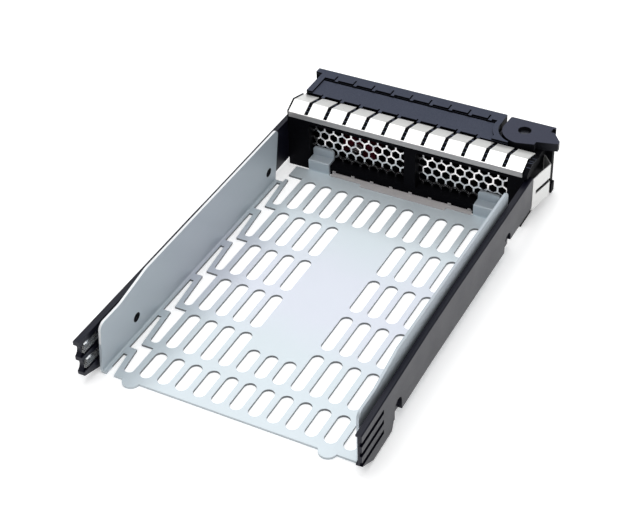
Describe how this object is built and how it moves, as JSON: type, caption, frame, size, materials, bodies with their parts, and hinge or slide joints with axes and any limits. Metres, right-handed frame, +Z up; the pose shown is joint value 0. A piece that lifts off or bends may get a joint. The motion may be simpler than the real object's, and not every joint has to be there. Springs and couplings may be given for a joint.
{
  "type": "drive tray",
  "caption": "Open hot-swap tray for a 3.5-inch drive: slotted folded sheet with side rails, vented bezel, ejector lever and release button.",
  "frame": {"origin": "middle of the underside of the tray's floor", "axes": "+X to the right seen from the open rear end, +Y along the tray to the bezel, +Z up"},
  "size_m": [0.1157, 0.1876, 0.0299],
  "materials": {
    "sheet_steel": "plated sheet, fine lengthwise grain",
    "black_plastic": "fine textured moulding",
    "charcoal_plastic": "satin moulding",
    "screen_steel": "punched plated sheet",
    "spring_steel": "bright spring sheet",
    "pin_steel": "turned",
    "spring_wire": "drawn wire",
    "maroon_plastic": "satin gloss",
    "clear_plastic": "clear moulding"
  },
  "bodies": {
    "tray": {"tray_sheet": "sheet_steel", "right_rail": "black_plastic", "left_rail": "black_plastic", "bezel_frame": "charcoal_plastic", "vent_screen": "screen_steel", "finger_strip": "spring_steel", "side_spring": "spring_steel", "hinge_pin": "pin_steel", "lever_spring": "spring_wire", "button_spring": "spring_wire", "light_pipe_upper": "clear_plastic", "light_pipe_lower": "clear_plastic", "guard_strip": "clear_plastic"},
    "lever": {"ejector_lever": "charcoal_plastic"},
    "button": {"release_button": "maroon_plastic"}
  },
  "joints": [
    {"name": "lever_swing", "type": "hinge", "parent": "tray", "child": "lever", "pos_m": [0.0432, 0.0996, 0], "axis": [0, 0, -1], "range_deg": [0, 30]},
    {"name": "button_press", "type": "slide", "parent": "tray", "child": "button", "axis": [0, -1, 0], "range_m": [0, 0.0025], "stiffness_N_per_m": 400, "deforming": ["button_spring"]}
  ]
}
